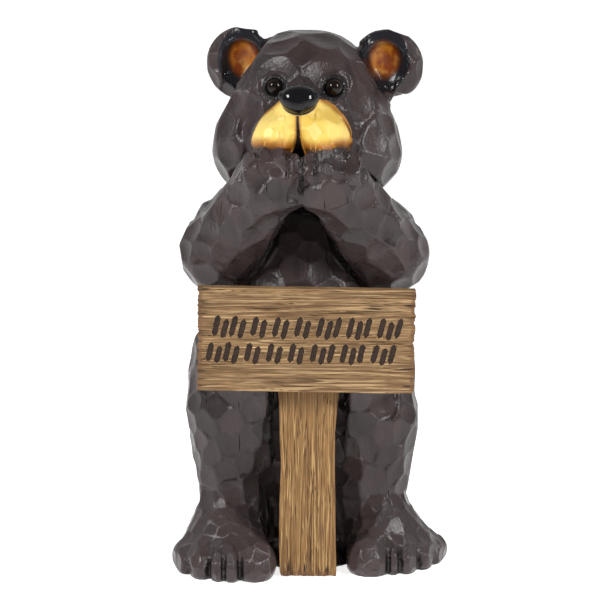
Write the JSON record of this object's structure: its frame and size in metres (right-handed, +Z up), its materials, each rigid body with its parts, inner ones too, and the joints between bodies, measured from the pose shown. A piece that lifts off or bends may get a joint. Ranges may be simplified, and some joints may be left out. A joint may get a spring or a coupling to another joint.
{
  "type": "bear statue with sign board",
  "caption": "Bear standing upright with both paws at its mouth, cut in broad carved facets, behind a plank sign on a post. Stands on its feet.",
  "frame": {"origin": "on the ground, in the middle of the footprint between the two feet", "axes": "+Z up, -Y the way the bear faces and the board looks, -X the bear's right"},
  "size_m": [0.316, 0.275, 0.607],
  "materials": {
    "bear_paint": "satin hand paint over cast resin, dark brown-black with grey dry-brushed ridges; yellow muzzle, gloss black nose, orange ear bowls",
    "eye_glass": "gloss black dome",
    "sign_paint": "matte hand paint over cast resin, weathered tan wood with dark grain"
  },
  "bodies": {
    "root": {"bear": "bear_paint", "left_eye": "eye_glass", "right_eye": "eye_glass", "sign_board": "sign_paint", "sign_post": "sign_paint"}
  },
  "joints": []
}
